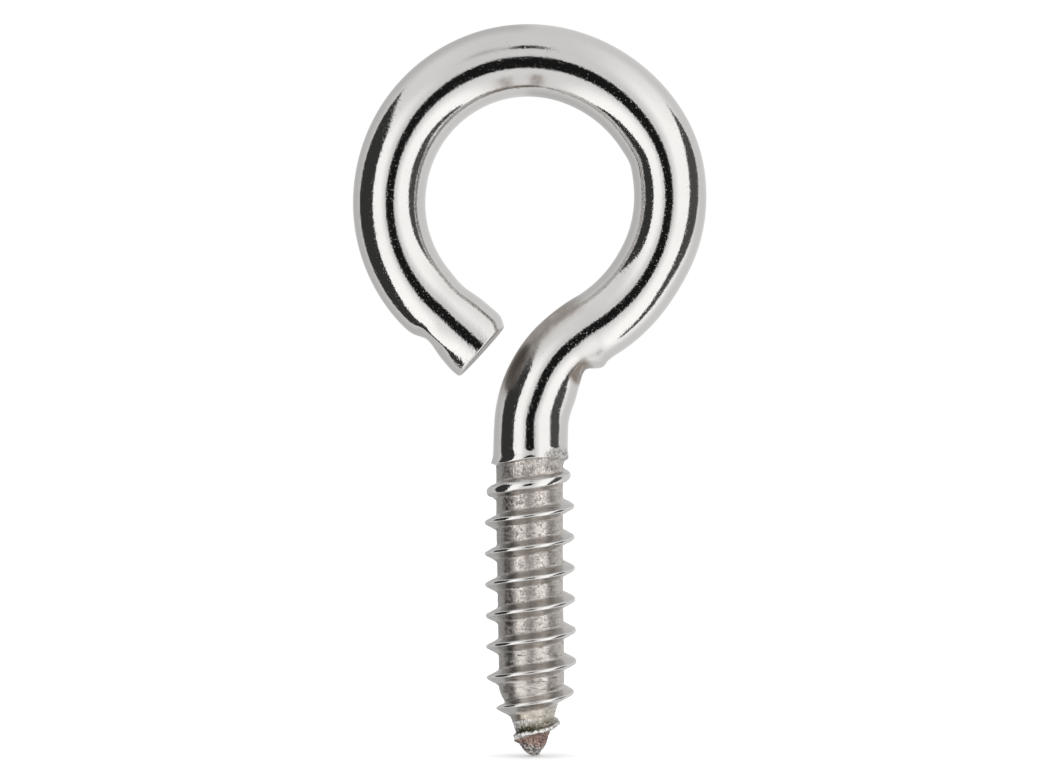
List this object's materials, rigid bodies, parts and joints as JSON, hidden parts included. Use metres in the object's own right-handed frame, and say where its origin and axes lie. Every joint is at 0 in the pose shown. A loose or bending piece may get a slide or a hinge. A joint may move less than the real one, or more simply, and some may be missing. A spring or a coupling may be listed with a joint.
{
  "type": "screw eye",
  "caption": "Screw eye of bright round wire: an almost closed ring on a reverse-bent neck, above a coarse wood-screw thread with a gimlet point.",
  "frame": {"origin": "on the shank's axis at the shoulder where the thread starts", "axes": "+Z along the shank towards the ring, with the ring in the XZ plane and -Y the front; the wire's free end is on the -X side"},
  "size_m": [0.029, 0.0074, 0.06],
  "materials": {
    "bright_plating": "bright, mirror-like nickel plating on drawn steel wire, with a faint fine grain",
    "rolled_plating": "the same plating over rough rolled roots, warmer and duller there, bright on the crests, with a coppery bare tip"
  },
  "bodies": {
    "root": {"eye_loop": "bright_plating", "tail_end": "bright_plating", "neck_bend": "bright_plating", "plain_shank": "bright_plating", "threaded_shank": "rolled_plating", "gimlet_point": "rolled_plating"}
  },
  "joints": []
}
